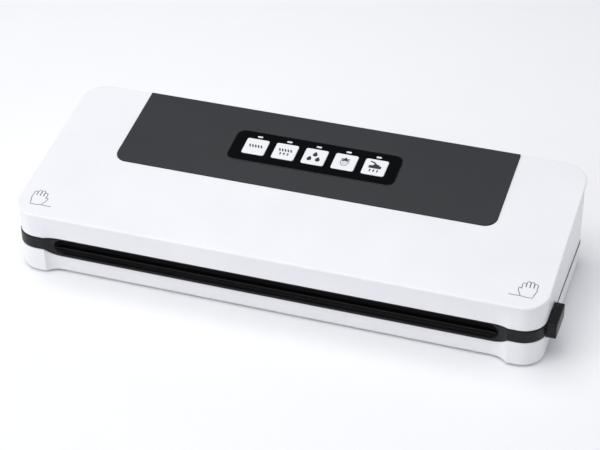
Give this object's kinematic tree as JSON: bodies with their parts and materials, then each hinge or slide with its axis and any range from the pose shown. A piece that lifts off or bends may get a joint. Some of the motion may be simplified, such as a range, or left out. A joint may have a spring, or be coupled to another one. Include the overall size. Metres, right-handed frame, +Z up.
{
  "type": "vacuum sealer",
  "caption": "Countertop vacuum sealer with a sloping hinged lid, dark inlay with white square keys, black seal deck with a front finger scoop and a release button at the right.",
  "frame": {"origin": "on the surface the feet stand on, under the middle of the overall box; the body is centred 3.1 mm to the left of it, because the release button stands out on the right only", "axes": "+X along the width to the right seen from the front, +Y towards the hinge at the rear, +Z up"},
  "size_m": [0.3812, 0.141, 0.0741],
  "materials": {
    "white_shell": "semi-gloss moulded ABS",
    "black_trim": "satin moulded ABS",
    "dark_panel": "fine spark-eroded texture",
    "control_gloss": "high gloss",
    "key_white": "satin with printed pictograms",
    "light_lens": "milky light guide",
    "foam_seal": "closed-cell foam",
    "silicone": "matte silicone",
    "rubber_feet": "matte",
    "steel": "zinc-plated and laminated steel",
    "heating_wire": "nickel-chromium strip",
    "release_tape": "PTFE-coated glass cloth",
    "copper_winding": "enamelled copper wire",
    "circuit_board": "solder-masked laminate"
  },
  "bodies": {
    "base": {"lower_housing": "white_shell", "chamber_deck": "black_trim", "equipment_cover": "black_trim", "suction_nozzle": "black_trim", "pump_head": "black_trim", "vent_valve": "black_trim", "foot_front_left": "rubber_feet", "foot_front_right": "rubber_feet", "foot_rear_left": "rubber_feet", "foot_rear_right": "rubber_feet", "cord_gland": "rubber_feet", "air_hose": "rubber_feet", "base_screw_front_left": "steel", "base_screw_front_right": "steel", "base_screw_rear_left": "steel", "base_screw_rear_right": "steel", "pump_motor": "steel", "transformer_core": "steel", "hinge_pin_left": "steel", "hinge_pin_right": "steel", "release_spring": "steel", "lower_gasket": "foam_seal", "heater_bar": "silicone", "heating_element": "heating_wire", "ptfe_tape": "release_tape", "transformer_winding": "copper_winding", "power_board": "circuit_board"},
    "lid": {"upper_housing": "white_shell", "lid_inner_plate": "black_trim", "upper_gasket": "foam_seal", "press_strip": "silicone", "panel_inlay": "dark_panel", "control_strip": "control_gloss", "control_board": "circuit_board", "latch_hook_left": "steel", "latch_hook_right": "steel", "lid_screw_front_left": "steel", "lid_screw_front_right": "steel", "lid_screw_rear_left": "steel", "lid_screw_rear_right": "steel", "light_guide_1": "light_lens", "light_guide_2": "light_lens", "light_guide_3": "light_lens", "light_guide_4": "light_lens", "light_guide_5": "light_lens", "tact_switch_1": "black_trim", "tact_switch_2": "black_trim", "tact_switch_3": "black_trim", "tact_switch_4": "black_trim", "tact_switch_5": "black_trim"},
    "release": {"release_button": "black_trim", "catch_bar": "black_trim"},
    "key_1_cap": {"key_1": "key_white"},
    "key_2_cap": {"key_2": "key_white"},
    "key_3_cap": {"key_3": "key_white"},
    "key_4_cap": {"key_4": "key_white"},
    "key_5_cap": {"key_5": "key_white"}
  },
  "joints": [
    {"name": "lid_hinge", "type": "hinge", "parent": "base", "child": "lid", "pos_m": [0, 0.0679, 0.0232], "axis": [-1, 0, 0], "range_deg": [0, 80]},
    {"name": "release_press", "type": "slide", "parent": "base", "child": "release", "axis": [-1, 0, 0], "range_m": [0, 0.002], "stiffness_N_per_m": 600, "deforming": ["release_spring"]},
    {"name": "key_1_press", "type": "slide", "parent": "lid", "child": "key_1_cap", "axis": [0, 0.1736, -0.9848], "range_m": [0, 0.0006], "stiffness_N_per_m": 500},
    {"name": "key_2_press", "type": "slide", "parent": "lid", "child": "key_2_cap", "axis": [0, 0.1736, -0.9848], "range_m": [0, 0.0006], "stiffness_N_per_m": 500},
    {"name": "key_3_press", "type": "slide", "parent": "lid", "child": "key_3_cap", "axis": [0, 0.1736, -0.9848], "range_m": [0, 0.0006], "stiffness_N_per_m": 500},
    {"name": "key_4_press", "type": "slide", "parent": "lid", "child": "key_4_cap", "axis": [0, 0.1736, -0.9848], "range_m": [0, 0.0006], "stiffness_N_per_m": 500},
    {"name": "key_5_press", "type": "slide", "parent": "lid", "child": "key_5_cap", "axis": [0, 0.1736, -0.9848], "range_m": [0, 0.0006], "stiffness_N_per_m": 500}
  ]
}
